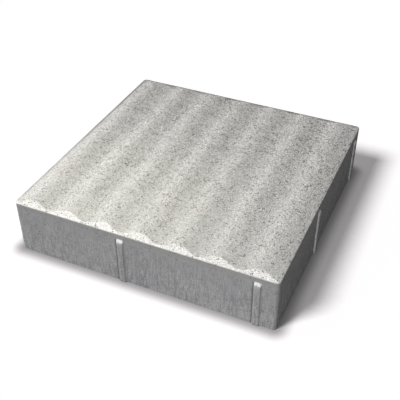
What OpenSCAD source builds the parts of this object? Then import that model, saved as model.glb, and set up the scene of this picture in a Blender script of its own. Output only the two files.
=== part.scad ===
// Waved guidance paving slab: a square concrete slab, cast in one piece.
// Low rounded waves run from front to back over its top face, and a sloped bevel
// round that face cuts them into scallops at the front and back edges.
// Eight upright spacer nibs stand on the sides, two on each.
// Units are mm. X runs across the waves, Y along them, Z up from the bed.

/* [Slab] */
// Side of the square slab without the nibs, mm
slab_side = 350; // [280:10:420]
// Thickness from the bed to the crests, mm
slab_thickness = 80; // [50:5:120]
// Radius of the four upright corners, mm
corner_radius = 4.5; // [3:0.5:8]

/* [Waved face] */
// Distance from crest to crest, mm
wave_pitch = 50; // [35:1:70]
// Height from trough to crest, mm
wave_depth = 3; // [2:0.5:5]

/* [Edge bevel] */
// Slope of the bevel round the top face, degrees
bevel_angle = 25; // [20:1:40]
// Rise of the bevel where it ends in a trough, mm
bevel_rise = 1; // [0.6:0.1:1.4]

/* [Spacer nibs] */
// Width of a nib where it leaves the side, mm
nib_width = 9; // [6:0.5:14]
// Distance that a nib stands out from the side, mm
nib_projection = 2.5; // [1.5:0.5:4]
// Amount by which each flank leans in, mm
nib_flank_lean = 0.75; // [0.25:0.25:2]
// Gap between the edge of the top bevel and the head of a nib, mm
nib_head_gap = 8; // [4:1:20]
// Height of the sloped head of a nib, mm
nib_head_height = 3.5; // [2:0.5:8]
// Height of the sloped foot of a nib, mm
nib_foot_height = 1.2; // [0.6:0.2:4]
// Distance from a corner to the middle of the nearer nib, mm
nib_corner_offset = 25; // [18:1:50]
// Distance between the middles of the two nibs of a side, mm
nib_spacing = 175; // [100:5:200]

/* [Hidden] */
half_side = slab_side / 2;
quarter_wave = wave_pitch / 4;
// Radius of the tangent arcs that make the crests and the troughs
wave_radius = (quarter_wave ^ 2 + (wave_depth / 2) ^ 2) / wave_depth;
trough_height = slab_thickness - wave_depth;
middle_height = slab_thickness - wave_depth / 2;
edge_height = trough_height - bevel_rise;
bevel_slope = tan(bevel_angle);
// Waves on each side of the one in the middle, enough to pass the slab's sides
side_waves = ceil(half_side / wave_pitch);
nib_top = edge_height - nib_head_gap;
// Depth to which a nib is rooted in the slab
nib_root = 2;
// Length by which a cutting shape passes what it cuts
clearance = 1;

concrete_color = [0.66, 0.65, 0.63];

// Arc of one crest, above the middle line of the waves
module crest_segment() {
  intersection() {
    translate([0, slab_thickness - wave_radius])
      circle(r = wave_radius, $fn = 360);
    translate([-quarter_wave, middle_height - clearance])
      square([2 * quarter_wave, wave_depth + clearance]);
  }
}

// Arc of one trough, to be cut away below the middle line
module trough_segment() {
  intersection() {
    translate([0, trough_height + wave_radius])
      circle(r = wave_radius, $fn = 360);
    translate([-quarter_wave, trough_height - clearance])
      square([2 * quarter_wave, wave_depth + clearance]);
  }
}

// Section across the waves: crests and troughs that meet as tangent arcs
module wave_section() {
  half_width = (side_waves + 0.5) * wave_pitch;
  difference() {
    union() {
      translate([-half_width, 0])
        square([2 * half_width, middle_height]);
      for (i = [-side_waves : side_waves])
        translate([i * wave_pitch, 0])
          crest_segment();
    }
    for (i = [-side_waves - 1 : side_waves])
      translate([(i + 0.5) * wave_pitch, 0])
        trough_segment();
  }
}

// Section of a block whose upper edges are bevelled
module bevel_section() {
  rise = slab_thickness + clearance - edge_height;
  run = rise / bevel_slope;
  polygon([
    [-half_side, 0],
    [half_side, 0],
    [half_side, edge_height],
    [half_side - run, edge_height + rise],
    [run - half_side, edge_height + rise],
    [-half_side, edge_height],
  ]);
}

// Waste outside one rounded corner: upright below the edge, conical along the bevel
module corner_waste() {
  difference() {
    translate([0, 0, -clearance])
      cube([corner_radius + clearance, corner_radius + clearance, slab_thickness + 2 * clearance]);
    translate([0, 0, -2 * clearance])
      cylinder(h = edge_height + 2 * clearance, r = corner_radius, $fn = 96);
    translate([0, 0, edge_height])
      cylinder(h = corner_radius * bevel_slope, r1 = corner_radius, r2 = 0, $fn = 96);
  }
}

// Slab without nibs
module slab_body() {
  difference() {
    intersection() {
      rotate([90, 0, 0])
        linear_extrude(height = slab_side, center = true)
          wave_section();
      rotate([90, 0, 0])
        linear_extrude(height = slab_side, center = true)
          bevel_section();
      rotate([90, 0, 90])
        linear_extrude(height = slab_side, center = true)
          bevel_section();
    }
    for (turn = [0 : 90 : 270])
      rotate([0, 0, turn])
        translate([half_side - corner_radius, half_side - corner_radius, 0])
          corner_waste();
  }
}

// One nib of the front side, at x = 0, with its flanks, head and foot sloped
module nib() {
  half_width = nib_width / 2;
  root_half_width = half_width + nib_flank_lean * nib_root / nib_projection;
  translate([0, -half_side, 0])
    intersection() {
      linear_extrude(height = nib_top + clearance)
        polygon([
          [-root_half_width, nib_root],
          [nib_flank_lean - half_width, -nib_projection],
          [half_width - nib_flank_lean, -nib_projection],
          [root_half_width, nib_root],
        ]);
      rotate([90, 0, 90])
        linear_extrude(height = 2 * root_half_width + clearance, center = true)
          polygon([
            [nib_root, 0],
            [0, 0],
            [-nib_projection, nib_foot_height],
            [-nib_projection, nib_top - nib_head_height],
            [0, nib_top],
            [nib_root, nib_top],
          ]);
    }
}

// Two nibs on each side, each side like the one before it turned by a quarter
module nibs() {
  near_nib = half_side - nib_corner_offset;
  for (turn = [0 : 90 : 270])
    for (place = [near_nib, near_nib - nib_spacing])
      rotate([0, 0, turn])
        translate([place, 0, 0])
          nib();
}

// The whole slab as it is cast: body and nibs in one solid
module paving_slab() {
  color(concrete_color)
    union() {
      slab_body();
      nibs();
    }
}

paving_slab();
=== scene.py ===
import math
from functools import partial

import bpy
import numpy as np
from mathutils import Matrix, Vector


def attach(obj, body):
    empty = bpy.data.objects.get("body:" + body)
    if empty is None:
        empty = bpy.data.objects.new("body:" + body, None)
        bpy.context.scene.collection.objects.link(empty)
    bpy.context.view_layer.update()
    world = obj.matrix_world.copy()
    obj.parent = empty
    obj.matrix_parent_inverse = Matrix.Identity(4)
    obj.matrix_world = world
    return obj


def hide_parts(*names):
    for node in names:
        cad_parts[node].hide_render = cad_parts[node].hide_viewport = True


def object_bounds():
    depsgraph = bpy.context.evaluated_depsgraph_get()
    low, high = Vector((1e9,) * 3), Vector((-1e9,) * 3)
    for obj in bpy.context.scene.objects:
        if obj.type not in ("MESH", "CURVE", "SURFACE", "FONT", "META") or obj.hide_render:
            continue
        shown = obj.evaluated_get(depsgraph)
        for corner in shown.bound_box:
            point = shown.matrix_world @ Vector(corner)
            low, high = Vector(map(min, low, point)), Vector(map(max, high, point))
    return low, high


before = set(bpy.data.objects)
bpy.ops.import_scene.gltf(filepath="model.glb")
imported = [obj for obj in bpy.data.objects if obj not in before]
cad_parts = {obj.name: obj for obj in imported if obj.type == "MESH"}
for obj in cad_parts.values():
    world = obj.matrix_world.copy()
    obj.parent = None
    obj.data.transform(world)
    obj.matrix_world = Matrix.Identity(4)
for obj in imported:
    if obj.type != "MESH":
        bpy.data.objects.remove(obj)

bl_info = {
    "name": "Waved Guidance Slab",
    "version": (1, 0, 0),
    "blender": (4, 5, 0),
    "location": "View3D > Sidebar > Slab",
    "description": "Casts the skin of a waved concrete paving slab and sets the stage it lies on",
    "category": "Mesh",
}

MM = 0.001
NODE = "paving_slab"
CAD_LOW, CAD_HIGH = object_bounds()
CAD_WIDTH = CAD_HIGH[0] - CAD_LOW[0]
SEED = 350
NIB_PROJECTION_MM = 2.5

# Spacing of the grid lines over the face, and their distances from the outline over the bevel
LINE_SPACING = 1.97 * MM
BEVEL_LINES = np.array([0.9, 1.4, 1.9, 2.5, 3.2, 3.85, 4.5, 5.2, 6, 6.9, 7.8, 8.7]) * MM
# Width of the sloped edge round the bed
LOWER_EDGE = 0.6 * MM
# A dark speck on the left edge and a crumb of concrete on the right one, with a painted shadow just behind
# the crumb
SPECK = np.array([-171.5, -3.5, 77]) * MM
CRUMB = np.array([172.3, 72.5, 77]) * MM
# Sockets of a colour Mix node, whose names its other kinds share
A, B, MIXED = 6, 7, 2


def linear(code):
    """Linear RGB of an sRGB hex colour such as "b4b2ac"."""
    srgb = np.array([int(code[i:i + 2], 16) for i in (0, 2, 4)]) / 255
    low = srgb / 12.92
    high = ((srgb + 0.055) / 1.055) ** 2.4
    return tuple(float(c) for c in np.where(srgb <= 0.04045, low, high))


def length(name, description, default_mm):
    """A length property, given in millimetres and stored in metres."""
    return bpy.props.FloatProperty(name=name, description=description,
                                   default=default_mm * MM, unit="LENGTH", precision=5)


def colour(name, description, code):
    """A colour property, given as sRGB hex and stored as linear RGB."""
    return bpy.props.FloatVectorProperty(name=name, description=description, size=3,
                                         subtype="COLOR", default=linear(code), min=0, max=1)


class SlabSizes(bpy.types.PropertyGroup):
    """Sizes of the cast slab: those of the solid, and the worn arris."""

    side: bpy.props.FloatProperty(
        name="Side", description="Side of the square slab without its nibs",
        default=CAD_WIDTH - 2 * NIB_PROJECTION_MM * MM, unit="LENGTH", precision=5)
    thickness: length("Thickness", "Height from the bed to the crests", 80)
    corner_radius: length("Corner radius", "Radius of the upright corners", 4.5)
    wave_pitch: length("Wave pitch", "Distance from crest to crest", 50)
    wave_depth: length("Wave depth", "Height from trough to crest", 3)
    bevel_angle: bpy.props.FloatProperty(
        name="Bevel angle", description="Slope of the bevel round the top face",
        default=math.radians(25), subtype="ANGLE")
    bevel_rise: length("Bevel rise", "Rise of the bevel where it ends in a trough", 1)
    arris_radius: length("Arris radius", "Radius of the worn edge between bevel and side", 0.9)
    nib_width: length("Nib width", "Width of a nib where it leaves the side", 9)
    nib_projection: length("Nib projection", "Distance that a nib stands out", NIB_PROJECTION_MM)
    nib_flank_lean: length("Nib flank lean", "Amount by which a flank leans in", 0.75)
    nib_head_gap: length("Nib head gap", "Gap from the top edge to the head of a nib", 8)
    nib_head_height: length("Nib head height", "Height of the sloped head", 3.5)
    nib_foot_height: length("Nib foot height", "Height of the sloped foot", 1.2)
    nib_corner_offset: length("Nib corner offset", "Distance from a corner to the nearer nib", 25)
    nib_spacing: length("Nib spacing", "Distance between the nibs of a side", 175)


class SlabColours(bpy.types.PropertyGroup):
    """Colours of the concrete."""

    paste: colour("Paste", "Cement skin of the waved face", "bbbab9")
    paste_dark: colour("Dark paste", "Damper, denser patches of the face", "b7b6b5")
    # The bevel colour also carries the painted highlight of the front bevel and the right arris
    bevel: colour("Bevel", "Dense, lime-rich skin of the bevel", "cac9c8")
    # The nib head colour also carries the painted highlight of the heads and the painted light of the flanks
    head: colour("Nib head", "Dense, rubbed skin of the nib heads and flanks", "cdcdcf")
    side: colour("Side", "Skin that slid along the mould wall", "9d9d9d")
    side_dark: colour("Dark side", "Drag marks and damp patches on the sides", "858588")
    collar: colour("Collar", "Smooth skin just below the arris", "8f8e8c")
    # The pit colour is also that of the painted shade along edges, in creases and behind the crumb
    pit: colour("Pit", "Shaded bottom of a pore, and dirt", "353431")
    grain: colour("Grain", "Light sand grains", "e8e6e0")
    warm: colour("Warm tint", "Rusty tint of some patches", "c4bab2")
    cool: colour("Cool tint", "Bluish tint of some patches", "b5bbc0")
    sand_contrast: bpy.props.FloatProperty(
        name="Sand contrast", description="Spread of shade between the grains of the face", default=1.3)


def lattice_noise(points, cell, seed):
    """Smooth noise from -1 to 1: random values on a cubic lattice of the given cell size,
    blended between the eight nearest lattice points with a fifth-power ease."""
    n = 64
    table = np.random.default_rng(seed).uniform(-1, 1, n ** 3)
    # The shift keeps every place well above zero
    scaled = np.asarray(points) / cell + 1000.5
    base = np.floor(scaled).astype(np.int64)
    f = scaled - base
    f = f * f * f * (f * (f * 6 - 15) + 10)
    total = 0.0
    for corner in np.ndindex(2, 2, 2):
        index = (base + corner) % n
        weight = np.prod(np.where(corner, f, 1 - f), axis=-1)
        total = total + weight * table[(index[..., 0] * n + index[..., 1]) * n + index[..., 2]]
    return total


def soft_min(a, b, blend):
    """Smaller of two values, with the crease between them rounded over the blend length."""
    h = np.clip(0.5 + 0.5 * (b - a) / blend, 0, 1)
    return b + (a - b) * h - blend * h * (1 - h)


def side_lines(s):
    """Places of the grid lines along one side, from -half to half: about 2 mm apart over the
    face, closer over the worn edge and the bevel, and closest across the flanks of the nibs."""
    half = s.side / 2
    turn = np.linspace(0, math.pi / 2 - s.bevel_angle, 4)
    edge = np.concatenate([s.arris_radius * (1 - np.cos(turn)), BEVEL_LINES])
    root = s.nib_width / 2
    rim = root - s.nib_flank_lean
    flank = np.array([rim - 0.5 * MM, rim, (rim + root) / 2,
                      root, root + 0.7 * MM, root + 1.5 * MM, root + 2.2 * MM])
    near = half - s.nib_corner_offset
    places = np.array([near, near - s.nib_spacing])
    places = np.concatenate([places, -places])
    fine = np.concatenate([half - edge, edge - half,
                           (places[:, None] + flank).ravel(), (places[:, None] - flank).ravel()])
    fine = np.unique(np.round(fine, 7))
    gaps = np.diff(fine)
    steps = np.maximum(1, np.round(gaps / LINE_SPACING)).astype(int)
    start = np.repeat(fine[:-1], steps)
    within = np.concatenate([np.arange(n) / n for n in steps])
    return np.append(start + within * np.repeat(gaps, steps), fine[-1])


def round_corners(x, y, half, radius):
    """Bends a square grid onto a square with rounded corners: in each corner square the rings of
    the grid become arcs round the corner's centre, and elsewhere nothing moves."""
    c = half - radius
    a, b = np.abs(x) - c, np.abs(y) - c
    corner = (a > 0) & (b > 0)
    big, small = np.maximum(a, b), np.minimum(a, b)
    angle = np.where(corner, small / np.where(big > 0, big, 1), 0) * math.pi / 4
    angle = np.where(b > a, math.pi / 2 - angle, angle)
    x2 = np.where(corner, np.sign(x) * (c + big * np.cos(angle)), x)
    y2 = np.where(corner, np.sign(y) * (c + big * np.sin(angle)), y)
    return x2, y2


def edge_distance(x, y, half, radius):
    """Distance inwards from the rounded outline."""
    a, b = np.abs(x) - half + radius, np.abs(y) - half + radius
    outside = np.hypot(np.maximum(a, 0), np.maximum(b, 0))
    return radius - outside - np.minimum(np.maximum(a, b), 0)


def outward(flat, s):
    """Level direction straight out of the nearest side or rounded corner, for points within a corner
    radius of the outline, and none for points further in."""
    reach = np.sign(flat) * np.maximum(np.abs(flat) - s.side / 2 + s.corner_radius, 0)
    return reach / np.maximum(np.linalg.norm(reach, axis=1, keepdims=True), 1e-9)


def wave_height(x, s):
    """Height of the waves: arcs of one radius, crest up and trough down, that meet in a tangent
    a quarter of a wave from each crest."""
    quarter = s.wave_pitch / 4
    radius = (quarter ** 2 + (s.wave_depth / 2) ** 2) / s.wave_depth
    off = np.abs(x - s.wave_pitch * np.round(x / s.wave_pitch))
    rest = 2 * quarter - off
    crest = s.thickness - radius + np.sqrt(radius ** 2 - np.minimum(off, quarter) ** 2)
    trough = s.thickness - s.wave_depth + radius - np.sqrt(radius ** 2 - np.minimum(rest, quarter) ** 2)
    return np.where(off <= quarter, crest, trough)


def edge_level(s):
    """Height of the sharp edge that the worn arris replaces."""
    return s.thickness - s.wave_depth - s.bevel_rise


def bevel_height(d, s):
    """Height of the bevel at a distance d from the outline, and of the foot of its arris: the arc of
    the worn arris, which leaves the side upright, and then the straight slope that it touches."""
    r = s.arris_radius
    slope = math.tan(s.bevel_angle)
    turn = math.pi / 2 - s.bevel_angle
    touch = r * (1 - math.cos(turn))
    foot = edge_level(s) + slope * touch - r * math.sin(turn)
    arc = foot + np.sqrt(np.maximum(r * r - (r - np.clip(d, 0, r)) ** 2, 0))
    return np.where(d < touch, arc, edge_level(s) + slope * d), foot


def nib_head(s):
    """Height of the top of the nibs."""
    return edge_level(s) - s.nib_head_gap


def nib_offset(along, s):
    """Distance along a side from the middle of the nearer nib."""
    near = s.side / 2 - s.nib_corner_offset
    return np.minimum(np.abs(along - near), np.abs(along - near + s.nib_spacing))


def nib_standoff(along, z, s):
    """How far the side stands out at a place along it: the least of the nib's face, its two leaning
    flanks, its sloped head and its sloped foot, with rounded edges, and none between the nibs."""
    p = s.nib_projection
    flank = p * (s.nib_width / 2 - nib_offset(along, s)) / s.nib_flank_lean
    head = p * (nib_head(s) - z) / s.nib_head_height
    foot = p * z / s.nib_foot_height
    edge, fine_edge = 0.5 * MM, 0.3 * MM
    least = soft_min(soft_min(np.full_like(flank, p), flank, edge), soft_min(head, foot, fine_edge), edge)
    return -soft_min(-least, np.zeros_like(least), fine_edge)


def side_rows(foot, s):
    """Heights of the rings down the sides, from below the arris to the lower edge: even steps in each
    of four spans, short ones over the heads and the feet of the nibs."""
    margin, low = 0.4 * MM, 2.4 * MM
    head = nib_head(s)
    neck = head - s.nib_head_height
    spans = ((foot, head + margin, 6), (head + margin, neck - margin, 6),
             (neck - margin, low, 25), (low, LOWER_EDGE, 4))
    rows = np.unique(np.concatenate([np.linspace(*span) for span in spans]))
    return rows[::-1][1:]


def bowl(points, centre, radius):
    """One at the centre, falling off with the square of the distance to nothing at the radius."""
    return np.clip(1 - ((points - centre) ** 2).sum(-1) / radius ** 2, 0, 1)


def scatter_pits(points, count, low, high, radius, depth, seed):
    """Depth of round pores at each point: random centres in a box, each a bowl of
    its own radius and depth."""
    rng = np.random.default_rng(seed)
    centres = rng.uniform(low, high, (count, 3))
    radii = rng.uniform(*radius, count)
    depths = rng.uniform(*depth, count)
    total = np.zeros(len(points))
    for c, r, d in zip(centres, radii, depths):
        total = np.maximum(total, d * bowl(points, c, r))
    return total


def face_skin(top, d, on_bevel, s):
    """Paleness with painted light, and painted shade with a dark speck, of the face's points, d from the
    outline.

    The front bevel is paler, a denser skin with a painted highlight, and the right arris has a painted
    highlight. The dark value is the most of a painted shade along the left rim, which grows to the back,
    painted shade on the back bevel, a faint painted shade along the right, a dark speck and a painted shadow
    just behind the crumb."""
    x, y = top[:, 0], top[:, 1]
    quarters = np.stack([-y - np.abs(x), y - np.abs(x), -x - np.abs(y), x - np.abs(y)])
    front, back, left, right = np.clip(0.5 + quarters / (3 * MM), 0, 1)
    # Front bevel paler, a denser skin with a painted highlight, and a painted highlight on the right arris
    paleness_and_painted_light = np.maximum(on_bevel * front, np.exp(-(d / (1.8 * MM)) ** 2) * right)
    # Painted shade along the left rim, growing towards the back
    left_rim_shade = left * np.interp(d, [3.2 * MM, 5 * MM], [1, 0]) * (0.62 + 0.3 * y / (s.side / 2))
    # Painted shade on the back bevel, which faces away from the light
    back_bevel_shade = 0.7 * back * np.maximum(on_bevel, np.interp(d, [5 * MM, 8 * MM], [1, 0]))
    # Faint painted shade along the right edge
    right_edge_shade = 0.16 * right * np.exp(-(d / (13 * MM)) ** 2)
    # Painted shadow just behind the crumb
    crumb_shadow = CRUMB + (-0.7 * MM, 3 * MM, 0)
    speck_and_crumb_shadow = [0.9 * bowl(top, mark, 2.4 * MM) for mark in (SPECK, crumb_shadow)]
    return paleness_and_painted_light, np.max([left_rim_shade, back_bevel_shade, right_edge_shade, *speck_and_crumb_shadow], axis=0)


def wall_skin(outline, lean, along, z, s):
    """Paleness with painted light, and painted shade, of the sides' points, ring by ring.

    The heads of the nibs are pale, a paler skin with a painted highlight, and fade down their faces, and
    strips down their flanks are lightened with painted light. Painted shade lies in the crease before each
    nib and round the left end of the front side."""
    half = s.side / 2
    head = nib_head(s)
    neck = head - s.nib_head_height
    gap = nib_offset(along, s) - s.nib_width / 2
    round_once = along - half + s.nib_corner_offset + s.nib_spacing / 2
    before = np.mod(round_once, s.nib_spacing) < s.nib_spacing / 2
    below = np.clip((head - z) / (2 * MM), 0, 1)
    # Painted shade in the crease before each nib, below its head
    crease = np.interp(gap, np.array([-0.1, 0.3, 1.5, 2.5]) * MM, [0, 1, 1, 0])
    crease = (before * crease)[None] * below
    # Painted shade round the left end of the front side
    end = np.clip((-lean[:, 0] - 0.45) / 0.4, 0, 1) * np.exp(-((outline[:, 1] + half) / (6 * MM)) ** 2)
    painted_shade_and_speck = np.maximum(crease, 0.9 * end[None])
    # Nib heads paler, a paler skin with a painted highlight, fading down the nib faces
    fade = np.where(z > neck, 1, 0.4 * np.exp((z - neck) / (2.5 * MM)))
    head_paleness_and_highlight = (gap < -0.2 * MM)[None] * fade * np.clip((head - z) / (0.3 * MM) + 1, 0, 1)
    # Painted light down the nib flanks, stronger on the flank beside the painted crease shade
    flank = np.interp(gap, np.array([-0.75, -0.5, -0.1, 0.1]) * MM, [0, 1, 1, 0])
    flank = (flank * np.where(before, 0.75, 0.3))[None] * below
    return np.maximum(head_paleness_and_highlight, flank).ravel(), painted_shade_and_speck.ravel()


def slab_surface(s):
    """The slab's whole skin as one closed surface.

    The top is a height field on a grid: the lower of the waves and the bevel. Its outer ring goes down the
    sides as a profile carried round the outline, pushed out at the nibs, turns in over the lower edge and
    closes under the bed. Returns points, quads, triangles and, for every point, how pale the skin is with
    painted light, how much of a side it is and how much painted shade and dark speck it has."""
    half, radius = s.side / 2, s.corner_radius
    lines = side_lines(s)
    n = len(lines)
    gx, gy = np.meshgrid(lines, lines)
    x, y = round_corners(gx, gy, half, radius)
    d = edge_distance(x, y, half, radius)
    waves = wave_height(x, s)
    bevel, foot = bevel_height(d, s)
    top = np.stack([x, y, soft_min(waves, bevel, 0.35 * MM)], -1).reshape(-1, 3)

    # The outline, its outward direction and the place along the side that each of its points is on
    index = np.arange(n * n).reshape(n, n)
    loop = np.concatenate([index[0, :-1], index[:-1, -1], index[-1, :0:-1], index[:0:-1, 0]])
    count = len(loop)
    outline = top[loop, :2]
    lean = outward(outline, s)
    side = np.argmax(np.stack([-lean[:, 1], lean[:, 0], lean[:, 1], -lean[:, 0]]), axis=0)
    along = np.choose(side, [outline[:, 0], outline[:, 1], -outline[:, 0], -outline[:, 1]])

    # Rings down the sides and, shrinking to the middle, under the bed
    rows = side_rows(foot, s)
    z = np.repeat(rows[:, None], count, 1)
    out = nib_standoff(np.repeat(along[None], len(rows), 0), z, s)
    walls = np.concatenate([outline[None] + lean[None] * out[..., None], z[..., None]], -1)
    shrink = np.array([LOWER_EDGE / half, 0.02, 0.1, 0.3, 0.6])
    under = np.concatenate([outline[None] * (1 - shrink)[:, None, None],
                            np.zeros((len(shrink), count, 1))], -1)
    rings = np.concatenate([walls, under]).reshape(-1, 3)
    points = np.concatenate([top, rings, np.zeros((1, 3))])

    i, j = np.meshgrid(np.arange(n - 1), np.arange(n - 1), indexing="ij")
    top_quads = np.stack([index[i, j], index[i, j + 1], index[i + 1, j + 1], index[i + 1, j]], -1)
    ring_index = np.concatenate([loop[None], n * n + np.arange(len(rings)).reshape(-1, count)])
    after = np.roll(ring_index, -1, axis=1)
    ring_quads = np.stack([ring_index[:-1], ring_index[1:], after[1:], after[:-1]], -1)
    quads = np.concatenate([top_quads.reshape(-1, 4), ring_quads.reshape(-1, 4)])
    last = ring_index[-1]
    triangles = np.stack([last, np.full(count, len(points) - 1), np.roll(last, -1)], -1)

    paleness_and_painted_light, cast, painted_shade_and_speck = np.zeros((3, len(points)))
    cast[n * n:] = 1
    cast[loop] = 1
    on_bevel = np.clip(0.5 + (waves - bevel) / (0.5 * MM), 0, 1).ravel()
    face, wall = slice(n * n), slice(n * n, n * n + z.size)
    paleness_and_painted_light[face], painted_shade_and_speck[face] = face_skin(top, d.ravel(), on_bevel, s)
    paleness_and_painted_light[wall], painted_shade_and_speck[wall] = wall_skin(outline, lean, along, z, s)
    return points, quads, triangles, {"paleness_and_painted_light": paleness_and_painted_light, "side": cast, "painted_shade_and_speck": painted_shade_and_speck}


def weather(points, side, s):
    """Relief that casting leaves, as heights in millimetres: faint sags of the face, gritty texture,
    pores and a crumb on the right edge, and on the sides drag marks and a rough foot. Every point moves
    along its own outward direction."""
    half = s.side / 2
    z = points[:, 2]
    grit = lattice_noise(points, 4.2 * MM, SEED) * 0.045 + lattice_noise(points, 9 * MM, SEED + 1) * 0.07
    sag = lattice_noise(points, 45 * MM, SEED + 2) * 0.12
    pores = scatter_pits(points, 420, (-half, -half, 70 * MM), (half, half, 82 * MM),
                         (1.5 * MM, 3.2 * MM), (0.15, 0.5), SEED + 3)
    drag = lattice_noise(points * (1, 1, 0.12), 3.2 * MM, SEED + 4) * 0.05
    rough = lattice_noise(points, 5 * MM, SEED + 5) * 0.16 * np.clip(1 - z / (30 * MM), 0, 1)
    crumb = 1.1 * bowl(points, CRUMB, 2.6 * MM)
    lift = (1 - side) * (grit + sag - pores + crumb) + side * (0.4 * grit + drag + rough)
    bed = (z < LOWER_EDGE / 2) & (side > 0)
    lift = np.where(bed, 0, lift) * MM
    direction = np.concatenate([outward(points[:, :2], s) * side[:, None], (1 - side)[:, None]], 1)
    return points + direction * lift[:, None]


def make_object(name, points, quads, triangles, material):
    """A mesh object at the origin from whole arrays, smooth shaded."""
    mesh = bpy.data.meshes.new(name)
    corners = np.concatenate([quads.ravel(), triangles.ravel()]).astype(np.int32)
    totals = np.concatenate([np.full(len(quads), 4), np.full(len(triangles), 3)])
    starts = np.concatenate([[0], np.cumsum(totals)[:-1]]).astype(np.int32)
    mesh.vertices.add(len(points))
    mesh.vertices.foreach_set("co", points.astype(np.float32).ravel())
    mesh.loops.add(len(corners))
    mesh.loops.foreach_set("vertex_index", corners)
    mesh.polygons.add(len(totals))
    mesh.polygons.foreach_set("loop_start", starts)
    mesh.update(calc_edges=True)
    mesh.validate()
    mesh.polygons.foreach_set("use_smooth", np.ones(len(totals), dtype=bool))
    mesh.materials.append(material)
    piece = bpy.data.objects.new(name, mesh)
    bpy.context.scene.collection.objects.link(piece)
    return piece


def add_node(tree, kind, inputs, output=0, **settings):
    """Adds one node, sets its properties, gives each named input a value or a link, and returns
    the wanted output, if it has any."""
    node = tree.nodes.new(kind)
    for key, value in settings.items():
        setattr(node, key, value)
    for key, value in inputs.items():
        if isinstance(value, bpy.types.NodeSocket):
            tree.links.new(value, node.inputs[key])
        else:
            node.inputs[key].default_value = value
    return node.outputs[output] if node.outputs else None


def per_metre(size_mm):
    """Texture scale whose features are about this size."""
    return 1 / (size_mm * MM)


def new_material(name):
    """A material with an empty node tree."""
    material = bpy.data.materials.new(name)
    material.use_nodes = True
    material.node_tree.nodes.clear()
    return material


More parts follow.
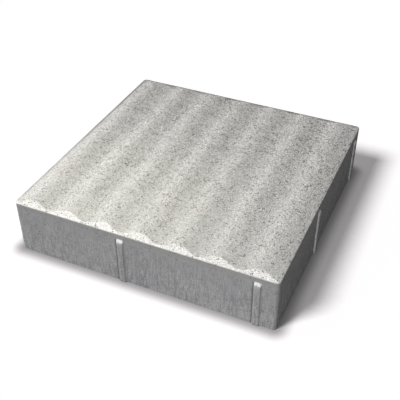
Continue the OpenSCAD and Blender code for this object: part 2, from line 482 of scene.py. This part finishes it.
def pressed_concrete(c):
    """Pressed paving concrete: a dry mix rammed into a steel mould.

    The face is cement paste over fine sand, so it is matt, salted with light and dark grains, pitted with
    pores that gather in patches and are darkened with painted shade, and clouded where it dried unevenly.
    The front bevel and the heads of the nibs, pressed by the ram's rim, are denser and paler, and carry a
    painted highlight; the right arris has a painted highlight and strips down the nib flanks are lightened
    with painted light. Painted shade darkens the left and back edges, a faint band along the right, the
    crease before each nib, the left end of the front side and a spot behind the crumb. The sides slid along
    the mould, which left fine upright drag marks and a greyer skin. Grains of a few tenths of a millimetre
    are too fine to show, so they are drawn coarser: sand and drag marks 0.55 and 0.9 mm wide, and light
    grains and pores in cells of 1.5 and 1.8 mm."""
    material = new_material("pressed_concrete")
    add = partial(add_node, material.node_tree)
    place = add("ShaderNodeTexCoord", {}, "Object")
    # Paleness with painted light, share of side, and painted shade with a dark speck, as stored on the
    # points
    paleness_and_painted_light, side, painted_shade_and_speck = [add("ShaderNodeAttribute", {}, "Fac", attribute_name=skin)
                         for skin in ("paleness_and_painted_light", "side", "painted_shade_and_speck")]
    smooth = {"interpolation_type": "SMOOTHSTEP"}
    rgba = {"data_type": "RGBA"}

    # Waved face: clouds from uneven drying, with faint rusty and bluish patches
    cloud = add("ShaderNodeTexNoise", {
        "Vector": place, "Scale": per_metre(26), "Detail": 3.0, "Roughness": 0.55}, "Fac")
    cloud = add("ShaderNodeMapRange", {"Value": cloud, "From Min": 0.35, "From Max": 0.68}, **smooth)
    face = add("ShaderNodeMix", {"Factor": cloud, A: (*c.paste_dark, 1), B: (*c.paste, 1)}, MIXED, **rgba)
    shifted = add("ShaderNodeMapping", {"Vector": place, "Location": (0.31, 0.17, 0)})
    tint = add("ShaderNodeTexNoise", {"Vector": shifted, "Scale": per_metre(30), "Detail": 2.0}, "Fac")
    for shade, start, full in ((c.warm, 0.56, 0.75), (c.cool, 0.44, 0.25)):
        patch = add("ShaderNodeMapRange", {
            "Value": tint, "From Min": start, "From Max": full, "To Max": 0.16}, **smooth)
        face = add("ShaderNodeMix", {"Factor": patch, A: face, B: (*shade, 1)}, MIXED, **rgba)
    # Paler front bevel, a denser skin with a painted highlight, and a painted highlight on the right arris
    face = add("ShaderNodeMix", {"Factor": paleness_and_painted_light, A: face, B: (*c.bevel, 1)}, MIXED, **rgba)

    # Sides: upright drag marks and soft mottling over a greyer skin, fainter upwards, and a plain
    # browner collar just below the arris
    drawn = add("ShaderNodeMapping", {"Vector": place, "Scale": (1, 1, 0.09)})
    drag = add("ShaderNodeTexVoronoi", {"Vector": drawn, "Scale": per_metre(0.9)}, "Color")
    drag = add("ShaderNodeSeparateColor", {"Color": drag}, "Red")
    mottle = add("ShaderNodeTexNoise", {
        "Vector": place, "Scale": per_metre(14), "Detail": 3.0, "Roughness": 0.6}, "Fac")
    blotch = add("ShaderNodeMix", {"Factor": 0.6, "A": drag, "B": mottle}, data_type="FLOAT")
    blotch = add("ShaderNodeMapRange", {"Value": blotch, "From Min": 0.22, "From Max": 0.74}, **smooth)
    _, depth, height = add("ShaderNodeSeparateXYZ", {"Vector": place}).node.outputs
    lower = add("ShaderNodeMapRange", {
        "Value": height, "From Min": 68 * MM, "From Max": 8 * MM, "To Min": 0.42, "To Max": 1.4})
    blotch = add("ShaderNodeMath", {0: blotch, 1: 0.5}, operation="SUBTRACT")
    blotch = add("ShaderNodeMath", {0: blotch, 1: lower, 2: 0.5}, operation="MULTIPLY_ADD")
    skin = add("ShaderNodeMix", {"Factor": blotch, A: (*c.side_dark, 1), B: (*c.side, 1)}, MIXED, **rgba)
    collar = add("ShaderNodeMapRange", {
        "Value": height, "From Min": 66 * MM, "From Max": 70 * MM, "To Max": 0.8}, **smooth)
    skin = add("ShaderNodeMix", {"Factor": collar, A: skin, B: (*c.collar, 1)}, MIXED, **rgba)
    # Paler nib heads with a painted highlight, and painted light down the nib flanks
    skin = add("ShaderNodeMix", {"Factor": paleness_and_painted_light, A: skin, B: (*c.head, 1)}, MIXED, **rgba)
    base = add("ShaderNodeMix", {"Factor": side, A: face, B: skin}, MIXED, **rgba)

    # Sand: every grain has its own shade of grey, stronger on the face than on the sides, and stronger
    # towards the back, where the mix looks coarser and has more pores
    sand = add("ShaderNodeTexVoronoi", {"Vector": place, "Scale": per_metre(0.55)}, "Color")
    shade = add("ShaderNodeSeparateColor", {"Color": sand}, "Red")
    side_contrast = add("ShaderNodeMath", {0: lower, 1: c.sand_contrast * 0.5}, operation="MULTIPLY")
    contrast = add("ShaderNodeMapRange", {"Value": side, "To Min": c.sand_contrast, "To Max": side_contrast})
    coarser = add("ShaderNodeMapRange", {
        "Value": depth, "From Min": -170 * MM, "From Max": 60 * MM, "To Min": 0.75, "To Max": 1.37})
    contrast = add("ShaderNodeMath", {0: contrast, 1: coarser}, operation="MULTIPLY")
    centred = add("ShaderNodeMath", {0: shade, 1: 0.5}, operation="SUBTRACT")
    shade = add("ShaderNodeMath", {0: centred, 1: contrast, 2: 1.0}, operation="MULTIPLY_ADD")
    base = add("ShaderNodeMix", {"Factor": 1.0, A: base, B: shade}, MIXED, blend_type="MULTIPLY", **rgba)

    # Pores: dark round spots of painted shade and dirt in some of the cells, gathered in patches and fainter
    # on the sides
    pores = add("ShaderNodeTexVoronoi", {"Vector": place, "Scale": per_metre(1.8)}).node.outputs
    chance = add("ShaderNodeSeparateColor", {"Color": pores["Color"]}, "Red")
    gather = add("ShaderNodeTexNoise", {"Vector": place, "Scale": per_metre(9), "Detail": 1.0}, "Fac")
    share = add("ShaderNodeMapRange", {
        "Value": gather, "From Min": 0.38, "From Max": 0.7, "To Min": 0.03, "To Max": 0.4}, **smooth)
    share = add("ShaderNodeMath", {0: share, 1: coarser}, operation="MULTIPLY")
    chosen = add("ShaderNodeMath", {0: chance, 1: share}, operation="LESS_THAN")
    spot = add("ShaderNodeMapRange", {
        "Value": pores["Distance"], "From Min": 0.53, "From Max": 0.3}, **smooth)
    spot = add("ShaderNodeMath", {0: spot, 1: chosen}, operation="MULTIPLY")
    strength = add("ShaderNodeMapRange", {"Value": side, "To Min": 0.86, "To Max": 0.45})
    spot = add("ShaderNodeMath", {0: spot, 1: strength}, operation="MULTIPLY")
    base = add("ShaderNodeMix", {"Factor": spot, A: base, B: (*c.pit, 1)}, MIXED, **rgba)

    # Light grains of sand at the surface
    grains = add("ShaderNodeTexVoronoi", {"Vector": shifted, "Scale": per_metre(1.5)}).node.outputs
    chance = add("ShaderNodeSeparateColor", {"Color": grains["Color"]}, "Green")
    chosen = add("ShaderNodeMath", {0: chance, 1: 0.08}, operation="LESS_THAN")
    gleam = add("ShaderNodeMapRange", {
        "Value": grains["Distance"], "From Min": 0.4, "From Max": 0.18, "To Max": 0.5}, **smooth)
    gleam = add("ShaderNodeMath", {0: gleam, 1: chosen}, operation="MULTIPLY")
    on_side = add("ShaderNodeMapRange", {"Value": side, "To Min": 1.0, "To Max": 0.2})
    gleam = add("ShaderNodeMath", {0: gleam, 1: on_side}, operation="MULTIPLY")
    base = add("ShaderNodeMix", {"Factor": gleam, A: base, B: (*c.grain, 1)}, MIXED, **rgba)

    # Painted shade along the edges, in the corner beside each nib and behind the crumb, and a dark speck
    painted_shade_mix = add("ShaderNodeMath", {0: painted_shade_and_speck, 1: 0.7}, operation="MULTIPLY")
    base = add("ShaderNodeMix", {"Factor": painted_shade_mix, A: base, B: (*c.pit, 1)}, MIXED, **rgba)

    # Fine grit and sunk pores in the surface
    grit = add("ShaderNodeTexNoise", {
        "Vector": place, "Scale": per_metre(0.9), "Detail": 1.0, "Roughness": 0.5}, "Fac")
    grit = add("ShaderNodeBump", {"Strength": 0.3, "Distance": 0.2 * MM, "Height": grit})
    sunk = add("ShaderNodeBump", {
        "Strength": 0.8, "Distance": 0.5 * MM, "Height": spot, "Normal": grit}, invert=True)
    shader = add("ShaderNodeBsdfPrincipled", {
        "Base Color": base, "Roughness": 0.9, "IOR": 1.5, "Specular IOR Level": 0.12, "Normal": sunk})
    add("ShaderNodeOutputMaterial", {"Surface": shader})
    return material


class SLAB_OT_cast(bpy.types.Operator):
    """Cast the slab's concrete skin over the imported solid"""

    bl_idname = "slab.cast"
    bl_label = "Cast Slab"

    def execute(self, context):
        sizes, colours = context.scene.slab_sizes, context.scene.slab_colours
        points, quads, triangles, skins = slab_surface(sizes)
        points = weather(points, skins["side"], sizes)
        piece = make_object("cast_slab", points, quads, triangles, pressed_concrete(colours))
        for name, values in skins.items():
            skin = piece.data.attributes.new(name, "FLOAT", "POINT")
            skin.data.foreach_set("value", values.astype(np.float32))
        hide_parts(NODE)
        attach(piece, "root")
        return {"FINISHED"}


class StageSettings(bpy.types.PropertyGroup):
    """Camera, floor and even light."""

    lens: bpy.props.FloatProperty(
        name="Lens", description="Focal length on a 36 mm sensor", default=63.295)
    eye: bpy.props.FloatVectorProperty(
        name="Eye", description="Camera position", default=(0.31988, -0.70797, 0.61940),
        subtype="TRANSLATION")
    aim: bpy.props.FloatVectorProperty(
        name="Aim", description="Point that the camera looks at", default=(-0.00517, 0.01280, 0),
        subtype="TRANSLATION")
    paper: colour("Paper", "White studio floor", "fffcfd")
    bounce: colour("Bounce", "What the floor throws back onto the slab", "595959")
    glow: bpy.props.FloatProperty(
        name="Glow", description="Light added to the floor where it is seen", default=0.19)
    # Depth and reach of the painted shade on the floor round the slab
    contact: bpy.props.FloatProperty(
        name="Contact", description="Floor brightness right at the slab", default=0.345)
    contact_reach: length("Contact reach", "Width of the shade round the slab", 21)
    ambient: bpy.props.FloatProperty(
        name="Ambient", description="Strength of the even light", default=0.104)


def rays_that_show(add):
    """One for rays from the camera, from gloss and through clear material, and nothing for the rest."""
    rays = add("ShaderNodeLightPath", {}).node.outputs
    shows = add("ShaderNodeMath", {0: rays["Is Camera Ray"], 1: rays["Is Glossy Ray"]}, operation="MAXIMUM")
    return add("ShaderNodeMath", {0: shows, 1: rays["Is Transmission Ray"]}, operation="MAXIMUM")


def backdrop_paper(stage, sizes):
    """Matt white backdrop paper. The camera sees it white, with the cast shadow and a narrow soft painted
    shade round the slab where it lies on the paper, while little light goes back from it to the slab."""
    material = new_material("backdrop_paper")
    add = partial(add_node, material.node_tree)
    place = add("ShaderNodeTexCoord", {}, "Object")
    flat = add("ShaderNodeVectorMath", {0: place, 1: (1, 1, 0)}, operation="MULTIPLY")
    flat = add("ShaderNodeVectorMath", {0: flat}, operation="ABSOLUTE")
    inner = (sizes.side / 2 - sizes.corner_radius,) * 2 + (0,)
    beyond = add("ShaderNodeVectorMath", {0: flat, 1: inner}, operation="SUBTRACT")
    beyond = add("ShaderNodeVectorMath", {0: beyond, 1: (0, 0, 0)}, operation="MAXIMUM")
    distance = add("ShaderNodeVectorMath", {0: beyond}, "Value", operation="LENGTH")
    # Painted shade on the paper, darkest at the slab's outline
    shade = add("ShaderNodeMapRange", {
        "Value": distance, "From Min": sizes.corner_radius,
        "From Max": sizes.corner_radius + stage.contact_reach,
        "To Min": stage.contact, "To Max": 1.0}, interpolation_type="SMOOTHSTEP")
    white = add("ShaderNodeMix", {"Factor": 1.0, A: (*stage.paper, 1), B: shade}, MIXED,
                data_type="RGBA", blend_type="MULTIPLY")
    seen = add("ShaderNodeBsdfDiffuse", {"Color": white})
    glow = add("ShaderNodeEmission", {"Color": white, "Strength": stage.glow})
    seen = add("ShaderNodeAddShader", {0: seen, 1: glow})
    thrown = add("ShaderNodeBsdfDiffuse", {"Color": (*stage.bounce, 1)})
    surface = add("ShaderNodeMixShader", {0: rays_that_show(add), 1: thrown, 2: seen})
    add("ShaderNodeOutputMaterial", {"Surface": surface})
    return material


def studio_world(stage):
    """A world that gives the slab a weak even light and shows as white."""
    world = bpy.data.worlds.new("studio")
    world.use_nodes = True
    world.node_tree.nodes.clear()
    add = partial(add_node, world.node_tree)
    even = add("ShaderNodeBackground", {"Color": (1, 1, 1, 1), "Strength": stage.ambient})
    white = add("ShaderNodeBackground", {"Color": (1, 1, 1, 1), "Strength": 1.0})
    surface = add("ShaderNodeMixShader", {0: rays_that_show(add), 1: even, 2: white})
    add("ShaderNodeOutputWorld", {"Surface": surface})
    return world


def stand(name, data, place, aim):
    """A lamp or camera at a place, turned to face a point."""
    holder = bpy.data.objects.new(name, data)
    holder.location = place
    holder.rotation_mode = "QUATERNION"
    holder.rotation_quaternion = (Vector(aim) - Vector(place)).to_track_quat("-Z", "Y")
    bpy.context.scene.collection.objects.link(holder)
    return holder


def hang_lamp(name, kind, place, aim, **settings):
    """A lamp at a place that faces a point and that the camera doesn't see."""
    lamp = bpy.data.lights.new(name, kind)
    for key, value in settings.items():
        setattr(lamp, key, value)
    holder = stand(name, lamp, place, aim)
    holder.visible_camera = False
    return holder


def hang_lamps(floor):
    """The far key lamp, which casts the shadow, four small disks that are flagged off the floor, and a
    wash from the key's place on the floor alone."""
    sun = {"kind": "SUN", "place": (-1.19, -1.71, 2.16), "aim": (0, 0, 0), "angle": math.radians(19)}
    disk = {"kind": "AREA", "shape": "DISK"}
    face, middle = (0, 0, 0.078), (0, 0, 0.04)
    hang_lamp("key", energy=1.84, **sun)
    lamps = [
        hang_lamp("above", place=(-0.1, -0.18, 0.38), aim=(-0.04, -0.1, 0.078), size=0.16,
                  energy=0.535, color=(1, 0.985, 0.8), **disk),
        hang_lamp("left", place=(-0.89, -0.165, 0.18), aim=face, size=0.24, energy=7.5, **disk),
        hang_lamp("fill", place=(0.573, -1.494, 0.85), aim=middle, size=0.64, energy=15, **disk),
        hang_lamp("back", place=(-0.1, 1.2, 0.06), aim=middle, size=0.1, energy=6, **disk)]
    flag = bpy.data.collections.new("flagged_floor")
    flag.objects.link(floor)
    flag.collection_objects[0].light_linking.link_state = "EXCLUDE"
    for lamp in lamps:
        lamp.light_linking.receiver_collection = flag
    paper = bpy.data.collections.new("paper_only")
    paper.objects.link(floor)
    wash = hang_lamp("wash", energy=1.363, **sun)
    wash.light_linking.receiver_collection = paper


class SLAB_OT_stage(bpy.types.Operator):
    """Lay the floor, hang the lamps and place the camera"""

    bl_idname = "slab.stage"
    bl_label = "Set Stage"

    def execute(self, context):
        scene, stage = context.scene, context.scene.slab_stage
        # The floor lies just below the bed, so that the two faces don't fight
        reach, drop = 6, 0.05 * MM
        corners = np.array([[-1, -1, 0], [1, -1, 0], [1, 1, 0], [-1, 1, 0]]) * reach - (0, 0, drop)
        floor = make_object("floor", corners, np.array([[0, 1, 2, 3]]), np.zeros((0, 3), dtype=int),
                            backdrop_paper(stage, scene.slab_sizes))
        hang_lamps(floor)
        scene.world = studio_world(stage)

        camera = bpy.data.cameras.new("camera")
        camera.lens = stage.lens
        camera.sensor_width = 36
        camera.clip_start = 0.01
        scene.camera = stand("camera", camera, stage.eye, stage.aim)
        scene.view_settings.view_transform = "Standard"
        return {"FINISHED"}


class SLAB_PT_panel(bpy.types.Panel):
    """Slab tools in the sidebar"""

    bl_idname = "SLAB_PT_panel"
    bl_label = "Waved Guidance Slab"
    bl_space_type = "VIEW_3D"
    bl_region_type = "UI"
    bl_category = "Slab"

    def draw(self, context):
        for group in ("slab_sizes", "slab_colours", "slab_stage"):
            values = getattr(context.scene, group)
            box = self.layout.box()
            for name in values.__annotations__:
                box.prop(values, name)
        self.layout.operator(SLAB_OT_cast.bl_idname)
        self.layout.operator(SLAB_OT_stage.bl_idname)


CLASSES = (SlabSizes, SlabColours, StageSettings, SLAB_OT_cast, SLAB_OT_stage, SLAB_PT_panel)


def register():
    """Registers the classes and hangs the settings on the scene."""
    for item in CLASSES:
        bpy.utils.register_class(item)
    bpy.types.Scene.slab_sizes = bpy.props.PointerProperty(type=SlabSizes)
    bpy.types.Scene.slab_colours = bpy.props.PointerProperty(type=SlabColours)
    bpy.types.Scene.slab_stage = bpy.props.PointerProperty(type=StageSettings)


def unregister():
    """Takes the settings off the scene and unregisters the classes."""
    del bpy.types.Scene.slab_sizes, bpy.types.Scene.slab_colours, bpy.types.Scene.slab_stage
    for item in reversed(CLASSES):
        bpy.utils.unregister_class(item)


def main():
    """Makes the slab and its stage."""
    register()
    bpy.ops.slab.cast()
    bpy.ops.slab.stage()


if __name__ == "__main__":
    main()
